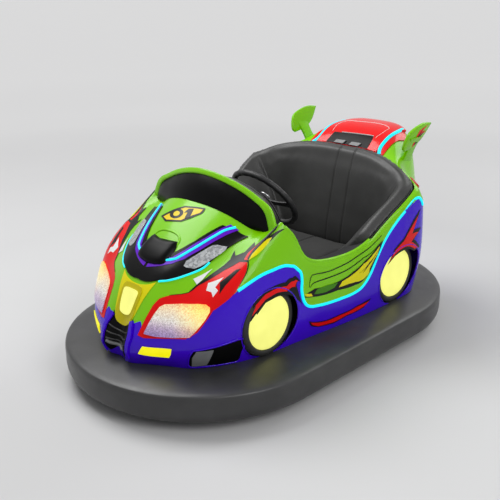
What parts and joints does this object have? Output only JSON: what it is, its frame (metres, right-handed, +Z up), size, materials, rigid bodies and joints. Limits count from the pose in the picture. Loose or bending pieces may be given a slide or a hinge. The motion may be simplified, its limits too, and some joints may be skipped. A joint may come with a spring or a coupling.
{
  "type": "bumper car",
  "caption": "Two-seat fairground bumper car: moulded sports-car body with fins and lamps on a steel chassis inside a thick rubber ring, one steered drive wheel.",
  "frame": {"origin": "on the floor, below the middle of the rubber ring's outline", "axes": "+X towards the car's left side, +Y towards its rear, -Y its front, +Z up"},
  "size_m": [1.169, 1.95, 0.95],
  "materials": {
    "rubber": "gloss black-grey rubber with a faint mould grain",
    "tyre": "matt rubber",
    "galvanised": "dull galvanised steel",
    "green_gelcoat": "gloss lime green",
    "blue_gelcoat": "gloss deep blue",
    "red_gelcoat": "gloss red",
    "black_gloss": "gloss black",
    "lens": "clear moulded lens",
    "lamp": "lit pale yellow diffuser",
    "leather": "dark grey leathercloth",
    "plastic": "grained dark grey plastic",
    "tinted": "smoked screen, almost black"
  },
  "bodies": {
    "car": {"bumper_ring": "rubber", "ring_channel": "galvanised", "chassis_frame": "galvanised", "drive_plate": "galvanised", "rear_axle": "galvanised", "front_fascia": "blue_gelcoat", "grille": "black_gloss", "front_fender_left": "blue_gelcoat", "front_fender_right": "blue_gelcoat", "side_sill_left": "blue_gelcoat", "side_sill_right": "blue_gelcoat", "rear_fender_left": "blue_gelcoat", "rear_fender_right": "blue_gelcoat", "tail_panel": "blue_gelcoat", "hood": "green_gelcoat", "door_panel_left": "green_gelcoat", "door_panel_right": "green_gelcoat", "rear_deck": "green_gelcoat", "side_wheel_front_left": "lamp", "side_wheel_front_right": "lamp", "side_wheel_rear_left": "lamp", "side_wheel_rear_right": "lamp", "headlamp_left": "lens", "headlamp_right": "lens", "nose_lamp": "lamp", "hood_mask": "black_gloss", "windscreen_frame": "green_gelcoat", "windscreen": "tinted", "dashboard": "plastic", "steering_column": "galvanised", "cockpit_tub": "plastic", "seat_base": "plastic", "battery_pack": "plastic", "seat_cushion": "leather", "seat_back": "leather", "pedal": "galvanised", "engine_cover": "red_gelcoat", "engine_vent": "black_gloss", "wing_left": "green_gelcoat", "wing_right": "green_gelcoat"},
    "steering": {"steering_wheel": "plastic"},
    "drive_unit": {"drive_fork": "galvanised"},
    "drive_wheel": {"drive_wheel": "tyre"},
    "rear_wheel_left": {"rear_wheel_left": "tyre"},
    "rear_wheel_right": {"rear_wheel_right": "tyre"}
  },
  "joints": [
    {"name": "steering_turn", "type": "hinge", "parent": "car", "child": "steering", "pos_m": [0, -0.02, 0.66], "axis": [0, 0.8, 0.6], "continuous": true},
    {"name": "drive_swivel", "type": "hinge", "parent": "car", "child": "drive_unit", "pos_m": [0, -0.52, 0.095], "axis": [0, 0, 1], "continuous": true},
    {"name": "drive_wheel_roll", "type": "hinge", "parent": "drive_unit", "child": "drive_wheel", "pos_m": [0, -0.52, 0.095], "axis": [1, 0, 0], "continuous": true},
    {"name": "rear_wheel_left_roll", "type": "hinge", "parent": "car", "child": "rear_wheel_left", "pos_m": [0.27, 0.44, 0.075], "axis": [1, 0, 0], "continuous": true},
    {"name": "rear_wheel_right_roll", "type": "hinge", "parent": "car", "child": "rear_wheel_right", "pos_m": [-0.27, 0.44, 0.075], "axis": [1, 0, 0], "continuous": true}
  ],
  "couplings": [
    {"joint": "drive_swivel", "follows": "steering_turn", "ratio": 1}
  ]
}
